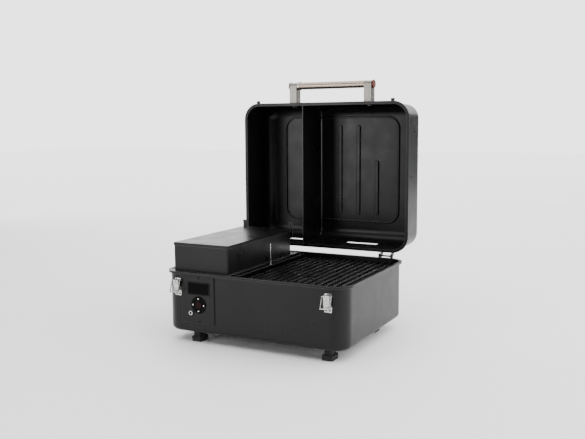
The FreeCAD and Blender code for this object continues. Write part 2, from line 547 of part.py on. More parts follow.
def latch_lever(x):
    """Folded lever: an eye round the cheek pin, a boss each side for the bail, a front plate."""
    half = LATCH_W / 2 - LATCH_T - PLAY
    pivot, tip = latch_point(LEVER_PIVOT), latch_point(BAIL_PIVOT)
    eye = along("x", pivot, LATCH_PIN_R + RUN_FIT + EYE_WALL, x - half, x + half)
    arm = box((x - half, x + half), (tip[0], pivot[0]), (tip[1] - LEVER_ARM_T, tip[1]))
    front = box((x - half, x + half), (tip[0] - LEVER_T / 2, tip[0] + LEVER_T / 2),
                (RIM_TOP - LEVER_DOWN, tip[1]))
    boss = along("x", tip, BAIL_R + BAIL_BOSS, x - half, x + half)
    lever = eye.fuse([arm, front, boss])
    lever = lever.cut(along("x", pivot, LATCH_PIN_R + RUN_FIT, x - half - PAST, x + half + PAST))
    bore = along("x", tip, BAIL_R + RUN_FIT, x - half - PAST, x + half + PAST)
    return lever.cut(bore).removeSplitter()


def latch_bail(x):
    """Closed wire loop: its upper side is the pivot through the lever, its lower side the hook bar."""
    half = LATCH_W / 2 + BAIL_R + PLAY
    top, end = latch_point(BAIL_PIVOT), latch_point(BAIL_END)
    corners = [V(x - half, *top), V(x + half, *top), V(x + half, *end), V(x - half, *end)]
    loop = []
    for i, a in enumerate(corners):
        b = corners[(i + 1) % 4]
        loop.append(Part.makeCylinder(BAIL_R, a.distanceToPoint(b), a, b.sub(a)))
        loop.append(Part.makeSphere(BAIL_R, a))
    return loop[0].fuse(loop[1:]).removeSplitter()


def latch_screws(x):
    base = -BODY_Y - LATCH_T
    z = LATCH_Z[0] + SCREW_SIDE
    return group([dome((x + dx, z), SCREW_R, SCREW_T, base, -1) for dx in (-SCREW_SIDE, SCREW_SIDE)])


def latch_keeper(x):
    """Hook on the lid's front lip: a tab and an upturned edge that holds the bail."""
    half = KEEPER_W / 2
    face = -RIM_D / 2
    tab = box((x - half, x + half), (face - KEEPER_OUT, face), (LID_LOW, LID_LOW + KEEPER_T))
    edge = box((x - half, x + half), (face - KEEPER_OUT, face - KEEPER_OUT + KEEPER_T),
               (LID_LOW, LID_LOW + KEEPER_H))
    return tab.fuse(edge).removeSplitter()


# ---- partition, deck and hopper -----------------------------------------------------------------
def inner_partition():
    x = (BULKHEAD_X, BULKHEAD_X + SHEET)
    y = IN_Y - PLAY
    cut = BASE_R + PAST
    outline = [(-y + cut, FLOOR_Z), (y - cut, FLOOR_Z), (y, FLOOR_Z + cut), (y, BULKHEAD_TOP),
               (-y, BULKHEAD_TOP), (-y, FLOOR_Z + cut)]
    plate = profile_x(outline, x)
    top = box((x[0], x[0] + FLANGE_W), (-y, y), (BULKHEAD_TOP - SHEET, BULKHEAD_TOP))
    foot_flange = box((x[0], x[0] + FLANGE_W), (-y + cut, y - cut), (FLOOR_Z, FLOOR_Z + SHEET))
    holes = [along("x", (0, AUGER_Z), TUBE_R + PLAY, x[0] - PAST, x[1] + PAST),
             along("x", (0, IGNITER_Z), IGNITER_R + PLAY, x[0] - PAST, x[1] + PAST)]
    return plate.fuse([top, foot_flange]).cut(holes).removeSplitter()


def compartment_deck():
    """Flat cover over the left compartment, hung from skirts on the tub's front and rear walls."""
    x = (-IN_X + PLAY, BULKHEAD_X)
    z = (DECK_TOP - SHEET, DECK_TOP)
    plate = rounded((x[0], -x[0]), (-IN_Y + PLAY, IN_Y - PLAY), z, CORNER_R - SHEET)
    plate = plate.cut(box((x[1], BODY_X), (-BODY_Y, BODY_Y), (z[0] - PAST, z[1] + PAST)))
    flat = (-IN_X + CORNER_R, x[1])
    skirts = [box(flat, (-IN_Y, -IN_Y + SHEET), (z[0] - DECK_SKIRT, z[1])),
              box(flat, (IN_Y - SHEET, IN_Y), (z[0] - DECK_SKIRT, z[1]))]
    n = FUNNEL_IN - PLAY
    mouth = box((HOPPER_X[0] + n, HOPPER_X[1] - n), (HOPPER_Y[0] + n, HOPPER_Y[1] - n),
                (z[0] - PAST, z[1] + PAST))
    return plate.fuse(skirts).cut(mouth).removeSplitter()


def hopper_housing():
    z = (DECK_TOP, HOPPER_TOP)
    t = HOPPER_T
    outer = rounded(HOPPER_X, HOPPER_Y, z, HOPPER_R)
    inner = rounded((HOPPER_X[0] + t, HOPPER_X[1] - t), (HOPPER_Y[0] + t, HOPPER_Y[1] - t),
                    (z[0] - PAST, z[1] + PAST), HOPPER_R - t)
    return outer.cut(inner)


def taper(mouth_x, mouth_y, top, outlet_x, outlet_y, low):
    """A square-cornered funnel body between two level rectangles."""
    wires = []
    for x, y, z in ((mouth_x, mouth_y, top), (outlet_x, outlet_y, low)):
        points = [V(x[0], y[0], z), V(x[1], y[0], z), V(x[1], y[1], z), V(x[0], y[1], z), V(x[0], y[0], z)]
        wires.append(Part.makePolygon(points))
    return Part.makeLoft(wires, True, True)


def hopper_funnel():
    n, t = FUNNEL_IN, HOPPER_T
    x = (HOPPER_X[0] + n, HOPPER_X[1] - n)
    y = (HOPPER_Y[0] + n, HOPPER_Y[1] - n)
    ox, oy = OUTLET_X, OUTLET_Y
    outer = taper(x, y, DECK_TOP, ox, oy, OUTLET_Z)
    inner = taper((x[0] + t, x[1] - t), (y[0] + t, y[1] - t), DECK_TOP,
                  (ox[0] + t, ox[1] - t), (oy[0] + t, oy[1] - t), OUTLET_Z)
    g = t + PLAY
    flange = rounded((HOPPER_X[0] + g, HOPPER_X[1] - g), (HOPPER_Y[0] + g, HOPPER_Y[1] - g),
                     (DECK_TOP, DECK_TOP + t), HOPPER_R - g)
    hole = box((x[0] + t, x[1] - t), (y[0] + t, y[1] - t), (DECK_TOP - PAST, DECK_TOP + t + PAST))
    return outer.cut(inner).fuse(flange.cut(hole)).removeSplitter()


def pellet_guard():
    g = HOPPER_T + 2 * PLAY
    x = (HOPPER_X[0] + g, HOPPER_X[1] - g)
    y = (HOPPER_Y[0] + g, HOPPER_Y[1] - g)
    z = (DECK_TOP + HOPPER_T, DECK_TOP + HOPPER_T + GUARD_T)
    b = GUARD_BAR
    frame = box(x, y, z).cut(box((x[0] + b, x[1] - b), (y[0] + b, y[1] - b), (z[0] - PAST, z[1] + PAST)))
    count = int((y[1] - y[0]) / GUARD_PITCH)
    step = (y[1] - y[0]) / count
    bars = [box((x[0] + b / 2, x[1] - b / 2), (y[0] + i * step - b / 2, y[0] + i * step + b / 2), z)
            for i in range(1, count)]
    return frame.fuse(bars).removeSplitter()


def hopper_lid():
    """Top plate with a turned-down skirt on three sides and two hinge knuckles at the rear."""
    g, t = PLAY, COVER_T
    x = (HOPPER_X[0] - g - t, HOPPER_X[1] + g + t)
    y = (HOPPER_Y[0] - g - t, COVER_AXIS[0] - 2 * g - KNUCKLE_R)
    low, under = COVER_TOP - COVER_SKIRT, COVER_TOP - t
    far = y[1] + 2 * HOPPER_R + COVER_SKIRT
    cover = rounded(x, (y[0], far), (low, COVER_TOP), HOPPER_R + g + t)
    cover = bend(cover, COVER_TOP, COVER_ROUND)
    inner = rounded((x[0] + t, x[1] - t), (y[0] + t, far), (low - PAST, under), HOPPER_R + g)
    behind = box((x[0] - PAST, x[1] + PAST), (y[1], far + PAST), (low - PAST, COVER_TOP + PAST))
    notch = box((x[0] - PAST, x[1] + PAST), (HOPPER_Y[1] - FREE, y[1] + PAST), (low - PAST, under))
    cover = cover.cut([inner, behind, notch])
    knuckles = []
    for c in KNUCKLE_X:
        half = KNUCKLE_L / 2
        barrel = along("x", COVER_AXIS, KNUCKLE_R, c - half, c + half)
        web = box((c - half, c + half), (y[1] - PAST, COVER_AXIS[0]), (under, COVER_TOP))
        knuckles += [barrel, web]
    bores = [along("x", COVER_AXIS, COVER_PIN_R + RUN_FIT, c - KNUCKLE_L, c + KNUCKLE_L)
             for c in KNUCKLE_X]
    return cover.fuse(knuckles).cut(bores).removeSplitter()


def hopper_hinge():
    """Fixed knuckles either side of each lid knuckle, on a leaf against the housing's rear wall."""
    rear = HOPPER_Y[1]
    made = []
    for c in KNUCKLE_X:
        half = KNUCKLE_L / 2 + PLAY
        top = COVER_AXIS[1] - KNUCKLE_R - PAST
        leaf = box((c - half - KNUCKLE_L, c + half + KNUCKLE_L), (rear, rear + SHEET), (top - LEAF_H, top))
        sides = []
        for start in (c - half - KNUCKLE_L, c + half):
            x = (start, start + KNUCKLE_L)
            sides.append(along("x", COVER_AXIS, KNUCKLE_R, *x))
            sides.append(box(x, (rear, COVER_AXIS[0]), (top - PAST, top - PAST + LEAF_ARM_T)))
        reach = half + KNUCKLE_L + PAST
        bore = along("x", COVER_AXIS, COVER_PIN_R + RUN_FIT, c - reach, c + reach)
        made.append(leaf.fuse(sides).cut(bore).removeSplitter())
    return group(made)


def hopper_pins():
    half = KNUCKLE_L * 1.5 + PLAY
    h = COVER_PIN_HEAD
    made = []
    for c in KNUCKLE_X:
        shank = along("x", COVER_AXIS, COVER_PIN_R, c - half - h, c + half + h)
        heads = [along("x", COVER_AXIS, COVER_PIN_R + h, c - half - h, c - half),
                 along("x", COVER_AXIS, COVER_PIN_R + h, c + half, c + half + h)]
        made.append(shank.fuse(heads).removeSplitter())
    return group(made)


def hopper_stops():
    """T-topped tabs behind the hopper lid that it leans back against when open."""
    rear = HOPPER_Y[1]
    face = COVER_AXIS[0] + KNUCKLE_R + TAB_GAP
    foot_z, top = HOPPER_TOP - TAB_DOWN, HOPPER_TOP + TAB_UP
    inset = (TAB_W - TAB_STEM) / 2
    made = []
    for x in TAB_X:
        stem = (x + inset, x + TAB_W - inset)
        leg = box(stem, (rear, face + TAB_T), (foot_z, foot_z + TAB_T))
        post = box(stem, (face, face + TAB_T), (foot_z, top))
        cap = box((x, x + TAB_W), (face, face + 2 * TAB_T), (top - TAB_CAP, top))
        made.append(leg.fuse([post, cap]).removeSplitter())
    return group(made)


# ---- control panel ------------------------------------------------------------------------------
KEYS = {
    "button_centre": (DIAL_X, DIAL_Z, CENTRE_R),
    "button_up": (DIAL_X, DIAL_Z + KEY_AT, KEY_R),
    "button_down": (DIAL_X, DIAL_Z - KEY_AT, KEY_R),
    "button_left": (DIAL_X - KEY_AT, DIAL_Z, KEY_R),
    "button_right": (DIAL_X + KEY_AT, DIAL_Z, KEY_R),
}


def key_holes(y0, y1):
    return [along("y", (x, z), r + KEY_FIT, y0, y1) for x, z, r in KEYS.values()]


def control_panel():
    """Front plate with openings for the window, buttons and socket, and bosses for the board."""
    plate = box(CTRL_X, (PANEL_FACE, PANEL_BACK), CTRL_Z)
    plate = plate.makeFillet(CTRL_R, [e for e in plate.Edges if e.BoundBox.YLength > 1.0])
    front = [e for e in plate.Edges if e.BoundBox.YMax < PANEL_FACE + 1e-3]
    plate = plate.makeFillet(PANEL_EDGE, front)
    bosses = [along("y", (x, z), BOSS_R, PANEL_BACK, BOARD_FRONT)
              for x in (CTRL_X[0] + BOSS_IN, CTRL_X[1] - BOSS_IN)
              for z in (CTRL_Z[0] + BOSS_UP, CTRL_Z[1] - BOSS_IN)]
    through = (PANEL_FACE - PAST, PANEL_BACK + PAST)
    cuts = key_holes(*through)
    cuts.append(box(DISPLAY_X, through, DISPLAY_Z))
    cuts.append(along("y", (JACK_X, JACK_Z), JACK_BORE + JACK_WALL, *through))
    return plate.fuse(bosses).cut(cuts).removeSplitter()


def display_window():
    return box(DISPLAY_X, (PANEL_FACE - BEZEL_T / 2, PANEL_BACK), DISPLAY_Z)


def display_bezel():
    b = BEZEL
    y = (PANEL_FACE - BEZEL_T, PANEL_FACE)
    outer = box((DISPLAY_X[0] - b, DISPLAY_X[1] + b), y, (DISPLAY_Z[0] - b, DISPLAY_Z[1] + b))
    outer = outer.makeFillet(BREAK, [e for e in outer.Edges if e.BoundBox.YLength > BEZEL_T / 2])
    return outer.cut(box(DISPLAY_X, (y[0] - PAST, y[1] + PAST), DISPLAY_Z))


def dial_ring():
    ring = along("y", (DIAL_X, DIAL_Z), DIAL_R, DIAL_FACE, PANEL_FACE)
    edge = [e for e in ring.Edges if e.BoundBox.YMax < DIAL_FACE + 1e-3]
    return ring.makeFillet(DIAL_EDGE, edge).cut(key_holes(DIAL_FACE - PAST, PANEL_FACE + PAST))


def button(x, z, r):
    """A cap through the panel with a lip behind it that keeps it in."""
    cap = along("y", (x, z), r, DIAL_FACE - KEY_PROUD, LIP_Y[1])
    edge = [e for e in cap.Edges if e.BoundBox.YMax < DIAL_FACE - KEY_PROUD + 1e-3]
    cap = cap.makeFillet(PANEL_EDGE, edge)
    return cap.fuse(along("y", (x, z), r + KEY_LIP, *LIP_Y)).removeSplitter()


def probe_socket():
    """Round meat-probe socket: a collar on the panel and a barrel through it."""
    collar = along("y", (JACK_X, JACK_Z), JACK_R, PANEL_FACE - JACK_OUT, PANEL_FACE)
    edge = [e for e in collar.Edges if e.BoundBox.YMax < PANEL_FACE - JACK_OUT + 1e-3]
    collar = collar.makeFillet(PANEL_EDGE, edge)
    end = PANEL_BACK + JACK_DEEP
    barrel = along("y", (JACK_X, JACK_Z), JACK_BORE + JACK_WALL, PANEL_FACE, end)
    bore = along("y", (JACK_X, JACK_Z), JACK_BORE, PANEL_FACE - JACK_OUT - PAST, end - JACK_END)
    return collar.fuse(barrel).cut(bore).removeSplitter()


def panel_screws():
    return group([dome(at, PANEL_SCREW_R, PANEL_SCREW_T, PANEL_FACE, -1) for at in PANEL_SCREWS])


def controller_board():
    n, c = BOARD_IN, CHIP_HALF
    rear = BOARD_FRONT + BOARD_T
    board = box((CTRL_X[0] + n, CTRL_X[1] - n), (BOARD_FRONT, rear), (CTRL_Z[0] + n, CTRL_Z[1] - n))
    chip = box((DIAL_X - c, DIAL_X + c), (rear, rear + CHIP_T), (DIAL_Z - c, DIAL_Z + c))
    hole = along("y", (JACK_X, JACK_Z), JACK_BORE + FREE, BOARD_FRONT - PAST, rear + PAST)
    return board.fuse(chip).cut(hole).removeSplitter()


# ---- auger and drive ----------------------------------------------------------------------------
def auger_tube():
    """Round tube with a square inlet on top that the funnel stands on."""
    axis = (0, AUGER_Z)
    tube = along("x", axis, TUBE_R, *TUBE_X)
    tube = tube.fuse(box(OUTLET_X, OUTLET_Y, (AUGER_Z, OUTLET_Z)))
    t = HOPPER_T
    inlet = box((OUTLET_X[0] + t, OUTLET_X[1] - t), (OUTLET_Y[0] + t, OUTLET_Y[1] - t),
                (AUGER_Z, OUTLET_Z + PAST))
    bore = along("x", axis, TUBE_R - TUBE_T, TUBE_X[0] - PAST, TUBE_X[1] + PAST)
    return tube.cut([bore, inlet]).removeSplitter()


def auger_screw():
    """Shaft and one continuous flight, swept along a helix about X."""
    axis = (0, AUGER_Z)
    length = FLIGHT_X[1] - FLIGHT_X[0]
    path = Part.makeHelix(FLIGHT_PITCH, length - FLIGHT_T, (SHAFT_R + FLIGHT_R) / 2)
    r0, r1, t = SHAFT_R - PAST, FLIGHT_R, FLIGHT_T
    section = Part.makePolygon([V(r0, 0, -t / 2), V(r1, 0, -t / 2), V(r1, 0, t / 2), V(r0, 0, t / 2),
                                V(r0, 0, -t / 2)])
    flight = Part.Wire(path).makePipeShell([section], True, True)
    if flight.Volume < 0:
        flight.reverse()
    flight.rotate(V(0, 0, 0), V(0, 1, 0), 90)
    flight.translate(V(FLIGHT_X[0] + t / 2, 0, AUGER_Z))
    shaft = along("x", axis, SHAFT_R, TUBE_X[0] - SHAFT_IN, FLIGHT_X[1])
    return shaft.fuse(flight).removeSplitter()


def auger_gearmotor():
    """Gearbox against the tube's outer end, with the motor can behind it."""
    x = (TUBE_X[0] - GEAR_L, TUBE_X[0])
    half, tall = TUBE_R + GEAR_SIDE, TUBE_R + GEAR_OVER
    gear = box(x, (-half, half), (AUGER_Z - tall, AUGER_Z + tall))
    gear = gear.makeFillet(GEAR_ROUND, [e for e in gear.Edges if e.BoundBox.XLength > 1.0])
    motor = along("y", ((x[0] + x[1]) / 2 + MOTOR_OFF, AUGER_Z), MOTOR_R, half, half + MOTOR_L)
    bore = along("x", (0, AUGER_Z), SHAFT_R + RUN_FIT, x[1] - SHAFT_IN - PAST, x[1] + PAST)
    return gear.fuse(motor).cut(bore).removeSplitter()


# ---- fire ---------------------------------------------------------------------------------------
def fire_pot():
    centre = (POT_X, 0)
    pot = along("z", centre, POT_R, *POT_Z)
    foot_part = along("z", centre, POT_FOOT_R, FLOOR_Z, POT_Z[0])
    bowl = along("z", centre, POT_R - POT_T, POT_Z[0] + POT_T, POT_Z[1] + PAST)
    side = (POT_X - POT_R - PAST, POT_X - POT_R + POT_CUT)
    cuts = [bowl, along("x", (0, AUGER_Z), TUBE_R + PLAY, *side),
            along("x", (0, IGNITER_Z), IGNITER_R + PLAY, *side)]
    for i in range(POT_HOLES):
        turn = 2 * math.pi * (i + 0.5) / POT_HOLES
        if abs(turn - math.pi) < math.asin(min(1.0, (TUBE_R + 2 * FREE) / POT_R)):
            continue
        way = V(math.cos(turn), math.sin(turn), 0)
        start = V(POT_X, 0, AUGER_Z - POT_HOLE_DOWN) + way * (POT_R - 2 * POT_T)
        cuts.append(Part.makeCylinder(POT_HOLE_R, 4 * POT_T, start, way))
    return pot.fuse(foot_part).cut(cuts).removeSplitter()


def igniter_rod():
    face = BULKHEAD_X + SHEET
    rod = along("x", (0, IGNITER_Z), IGNITER_R, *IGNITER_X)
    flange = along("x", (0, IGNITER_Z), IGNITER_R + IGNITER_FLANGE, face, face + IGNITER_FLANGE_T)
    return rod.fuse(flange).removeSplitter()


def heat_baffle():
    """Arch over the fire pot, standing on the tub's floor."""
    half = BAFFLE_D / 2
    block = box(BAFFLE_X, (-half, half), (FLOOR_Z, BAFFLE_TOP))
    inside = box((BAFFLE_X[0] - PAST, BAFFLE_X[1] + PAST), (-half + BAFFLE_T, half - BAFFLE_T),
                 (FLOOR_Z - PAST, BAFFLE_TOP - BAFFLE_T))
    return block.cut(inside)


def drip_tray():
    t = TRAY_T
    z = (TRAY_Z, TRAY_Z + TRAY_H)
    pan = rounded(TRAY_X, (-TRAY_Y, TRAY_Y), z, TRAY_R)
    inner = rounded((TRAY_X[0] + t, TRAY_X[1] - t), (-TRAY_Y + t, TRAY_Y - t),
                    (z[0] + t, z[1] + PAST), TRAY_R - t)
    return pan.cut(inner)


def grate_ledges():
    """Angles on the front and rear walls that the bar ends rest on."""
    top = GRATE_TOP - GRATE_BAR_H - LEDGE_GAP
    wall = IN_Y
    shelf = box(LEDGE_X, (wall - LEDGE_W, wall), (top - SHEET, top))
    back = box(LEDGE_X, (wall - SHEET, wall), (top - LEDGE_H, top))
    rear = shelf.fuse(back).removeSplitter()
    return group([rear, rear.mirror(V(0, 0, 0), V(0, 1, 0))])


def grate():
    """One casting: long bars with round ends on three cross rails."""
    half_w = GRATE_BAR_W / 2
    inner_r = CORNER_R - SHEET
    z = (GRATE_TOP - GRATE_BAR_H, GRATE_TOP)
    bars = []
    for i in range(GRATE_BARS):
        x = GRATE_X0 + i * GRATE_PITCH
        past = max(0.0, x + half_w - (IN_X - inner_r))
        reach = IN_Y - inner_r + math.sqrt(inner_r ** 2 - past ** 2) - GRATE_CLEAR
        bar = box((x - half_w, x + half_w), (-reach, reach), z)
        bar = bar.makeFillet(half_w * 0.92, [e for e in bar.Edges if e.BoundBox.ZLength > 1.0])
        bars.append(bend(bar, GRATE_TOP, GRATE_ROUND))
    rail_x = (GRATE_X0 - GRATE_RAIL_PAST, GRATE_X0 + (GRATE_BARS - 1) * GRATE_PITCH + GRATE_RAIL_PAST)
    rails = [box(rail_x, (y - GRATE_RAIL_W / 2, y + GRATE_RAIL_W / 2),
                 (z[0] - GRATE_RAIL_Z[0], z[0] + GRATE_RAIL_Z[1])) for y in GRATE_RAIL_Y]
    return bars[0].fuse(bars[1:] + rails).removeSplitter()


def chamber_probe():
    """Upright temperature probe in a foot on the partition's flange."""
    base = BULKHEAD_TOP + PROBE_FOOT_T
    rod = along("z", (PROBE_X, PROBE_Y), PROBE_R, base, PROBE_TOP)
    tip = [e for e in rod.Edges if e.BoundBox.ZMin > PROBE_TOP - 1e-3]
    return rod.makeFillet(PROBE_R * 0.8, tip)


def probe_foot():
    h = PROBE_FOOT / 2
    return box((PROBE_X - h / 2, PROBE_X + h), (PROBE_Y - h, PROBE_Y + h),
               (BULKHEAD_TOP, BULKHEAD_TOP + PROBE_FOOT_T))


# ---- fan and power ------------------------------------------------------------------------------
def fan_housing():
    """Square frame with a cross of spokes that carries the axle."""
    s, w, r = FAN_SIZE / 2, FAN_SPOKE / 2, FAN_BORE_R + PAST
    y = (IN_Y - FAN_DEEP, IN_Y)
    face = (y[0], y[0] + FAN_SPOKE_T)
    centre = (FAN_X, FAN_Z)
    body = box((FAN_X - s, FAN_X + s), y, (FAN_Z - s, FAN_Z + s))
    body = body.makeFillet(FAN_ROUND, [e for e in body.Edges if e.BoundBox.YLength > 1.0])
    body = body.cut(along("y", centre, FAN_BORE_R, y[0] - PAST, y[1] + PAST))
    inner = [box((FAN_X - r, FAN_X + r), face, (FAN_Z - w, FAN_Z + w)),
             box((FAN_X - w, FAN_X + w), face, (FAN_Z - r, FAN_Z + r)),
             along("y", centre, FAN_BOSS_R, *face),
             along("y", centre, FAN_AXLE_R, y[0], y[1] - FAN_AXLE_END)]
    return body.fuse(inner).removeSplitter()


def fan_impeller():
    """Hub and pitched blades on the housing's axle."""
    y = (IN_Y - FAN_DEEP + HUB_GAP[0], IN_Y - HUB_GAP[1])
    middle = (y[0] + y[1]) / 2
    centre = (FAN_X, FAN_Z)
    blades = []
    for i in range(FAN_BLADES):
        blade = box((FAN_X + FAN_HUB_R - PAST, FAN_X + FAN_TIP_R),
                    (middle - BLADE_T / 2, middle + BLADE_T / 2),
                    (FAN_Z - BLADE_W / 2, FAN_Z + BLADE_W / 2))
        blade.rotate(V(FAN_X, middle, FAN_Z), V(1, 0, 0), BLADE_PITCH)
        blade.rotate(V(FAN_X, 0, FAN_Z), V(0, 1, 0), 360.0 * i / FAN_BLADES)
        blades.append(blade)
    bore = along("y", centre, FAN_AXLE_R + RUN_FIT, y[0] - PAST, IN_Y - FAN_AXLE_END + PLAY)
    return along("y", centre, FAN_HUB_R, *y).fuse(blades).cut(bore).removeSplitter()


def framed(x, z, half_w, half_h, rim_w, rim_t, deep):
    """A flanged body through the rear wall: flange outside, body inside."""
    flange = box((x - half_w - rim_w[0], x + half_w + rim_w[0]), (BODY_Y, BODY_Y + rim_t),
                 (z - half_h - rim_w[1], z + half_h + rim_w[1]))
    flange = flange.makeFillet(BREAK, [e for e in flange.Edges if e.BoundBox.YLength > 1.0])
    body = box((x - half_w, x + half_w), (BODY_Y - deep, BODY_Y), (z - half_h, z + half_h))
    return flange.fuse(body)


def power_inlet():
    """Mains inlet with three contact pins."""
    hw, hh, wl = INLET_W / 2, INLET_H / 2, INLET_WALL
    body = framed(INLET_X, INLET_Z, hw, hh, INLET_RIM, INLET_RIM_T, INLET_DEEP)
    deep = BODY_Y - INLET_DEEP + wl
    socket = box((INLET_X - hw + wl, INLET_X + hw - wl), (deep, BODY_Y + INLET_RIM_T + PAST),
                 (INLET_Z - hh + wl, INLET_Z + hh - wl))
    w, h = INLET_PIN_W / 2, INLET_PIN_H / 2
    pins = []
    for dx, dz in INLET_PINS:
        x, z = INLET_X + dx, INLET_Z + dz
        pins.append(box((x - w, x + w), (deep, BODY_Y - INLET_PIN_IN), (z - h, z + h)))
    return body.cut(socket).fuse(pins).removeSplitter()


def switch_frame():
    """Frame of the mains switch, with the pin that its rocker tilts on."""
    hw, hh, wl = SWITCH_W / 2, SWITCH_H / 2, SWITCH_WALL
    rim_w = (SWITCH_RIM, SWITCH_RIM)
    body = framed(INLET_X, SWITCH_Z, hw, hh, rim_w, SWITCH_RIM_T, SWITCH_DEEP)
    hole = box((INLET_X - hw + wl, INLET_X + hw - wl),
               (BODY_Y - SWITCH_DEEP + SWITCH_BACK, BODY_Y + SWITCH_RIM_T + PAST),
               (SWITCH_Z - hh + wl, SWITCH_Z + hh - wl))
    pin = along("x", (BODY_Y, SWITCH_Z), SWITCH_PIN_R, INLET_X - hw + PAST, INLET_X + hw - PAST)
    return body.cut(hole).fuse(pin).removeSplitter()


def rocker_switch():
    """A shallow V rocker that tilts about a pin across its frame."""
    hw = SWITCH_W / 2 - SWITCH_WALL - PLAY
    hh = SWITCH_H / 2 - SWITCH_WALL - PLAY
    inner, out = BODY_Y - SWITCH_BACK, BODY_Y + SWITCH_RIM_T
    wide, narrow = hh - ROCKER_PEAK, hh - ROCKER_PEAK - ROCKER_TAPER
    outline = [(inner, SWITCH_Z - narrow), (out + ROCKER_PEAK, SWITCH_Z - wide), (out, SWITCH_Z),
               (out + ROCKER_PEAK, SWITCH_Z + wide), (inner, SWITCH_Z + narrow)]
    body = profile_x(outline, (INLET_X - hw, INLET_X + hw))
    body = body.cut(along("x", (BODY_Y, SWITCH_Z), SWITCH_PIN_R + RUN_FIT,
                          INLET_X - hw - PAST, INLET_X + hw + PAST))
    body.rotate(V(INLET_X, BODY_Y, SWITCH_Z), V(1, 0, 0), ROCKER_TILT)
    return body


# ---- all the nodes ------------------------------------------------------------------------------
NODES = {
    "body_tub": body_tub(),
    "feet": group([foot(x, y) for x in FOOT_X for y in FOOT_Y]),
    "hinge_bracket_left": hinge_bracket(-HINGE_X),
    "hinge_bracket_right": hinge_bracket(HINGE_X),
    "hinge_leaf_left": hinge_leaf(-HINGE_X),
    "hinge_leaf_right": hinge_leaf(HINGE_X),
    "hinge_pins": group([hinge_pin(-HINGE_X), hinge_pin(HINGE_X)]),
    "lid_shell": lid_shell(),
    "lid_partition": lid_partition(),
    "lid_rivets": lid_rivets(),
    "handle_posts": pair(handle_post()),
    "handle_bar": handle_bar(),
    "handle_collar": handle_collar(),
    "handle_caps": handle_caps(),
    "latch_keepers": group([latch_keeper(-LATCH_X), latch_keeper(LATCH_X)]),
    "inner_partition": inner_partition(),
    "compartment_deck": compartment_deck(),
    "hopper_housing": hopper_housing(),
    "hopper_funnel": hopper_funnel(),
    "pellet_guard": pellet_guard(),
    "hopper_lid": hopper_lid(),
    "hopper_hinge": hopper_hinge(),
    "hopper_pins": hopper_pins(),
    "hopper_stops": hopper_stops(),
    "control_panel": control_panel(),
    "display_window": display_window(),
    "display_bezel": display_bezel(),
    "dial_ring": dial_ring(),
    "probe_socket": probe_socket(),
    "panel_screws": panel_screws(),
    "controller_board": controller_board(),
    "auger_tube": auger_tube(),
    "auger_screw": auger_screw(),
    "auger_gearmotor": auger_gearmotor(),
    "fire_pot": fire_pot(),
    "igniter_rod": igniter_rod(),
    "heat_baffle": heat_baffle(),
    "drip_tray": drip_tray(),
    "grate": grate(),
    "grate_ledges": grate_ledges(),
    "chamber_probe": chamber_probe(),
    "probe_foot": probe_foot(),
    "fan_housing": fan_housing(),
    "fan_impeller": fan_impeller(),
    "power_inlet": power_inlet(),
    "switch_frame": switch_frame(),
    "rocker_switch": rocker_switch(),
}
for name, at in KEYS.items():
    NODES[name] = button(*at)
for side, x in (("left", -LATCH_X), ("right", LATCH_X)):
    NODES["latch_base_" + side] = latch_base(x)
    NODES["latch_lever_" + side] = latch_lever(x)
    NODES["latch_bail_" + side] = latch_bail(x)
NODES["latch_screws"] = group([latch_screws(-LATCH_X), latch_screws(LATCH_X)])

# The lid is laid out closed; the grill stands with it open at a right angle.
OPEN_PARTS = ("hinge_leaf_left", "hinge_leaf_right", "lid_shell", "lid_partition", "lid_rivets",
              "handle_posts", "handle_bar", "handle_collar", "handle_caps", "latch_keepers")

os.makedirs("parts", exist_ok=True)
for name, shape in NODES.items():
    placed = shape.copy()
    if name in OPEN_PARTS:
        placed.rotate(V(0, HINGE_Y, HINGE_Z), V(1, 0, 0), -90)
    placed.translate(V(0, SHIFT_Y, 0))
    placed.exportStep("parts/" + name + ".step")
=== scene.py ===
import json
import math

import bmesh
import bpy
from mathutils import Matrix, Vector


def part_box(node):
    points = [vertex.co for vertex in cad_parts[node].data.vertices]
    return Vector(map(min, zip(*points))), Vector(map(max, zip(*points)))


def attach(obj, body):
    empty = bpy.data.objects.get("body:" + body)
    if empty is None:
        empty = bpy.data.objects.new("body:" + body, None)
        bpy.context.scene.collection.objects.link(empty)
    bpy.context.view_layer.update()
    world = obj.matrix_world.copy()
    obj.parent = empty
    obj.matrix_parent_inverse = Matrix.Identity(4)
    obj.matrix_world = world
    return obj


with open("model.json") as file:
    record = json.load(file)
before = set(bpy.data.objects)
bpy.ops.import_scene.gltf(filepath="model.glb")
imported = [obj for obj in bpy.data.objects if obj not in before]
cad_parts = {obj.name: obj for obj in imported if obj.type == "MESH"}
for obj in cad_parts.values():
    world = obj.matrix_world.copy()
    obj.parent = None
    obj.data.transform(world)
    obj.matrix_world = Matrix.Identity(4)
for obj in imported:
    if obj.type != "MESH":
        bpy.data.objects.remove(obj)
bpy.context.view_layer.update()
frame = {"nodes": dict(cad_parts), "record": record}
NODES = frame["nodes"]


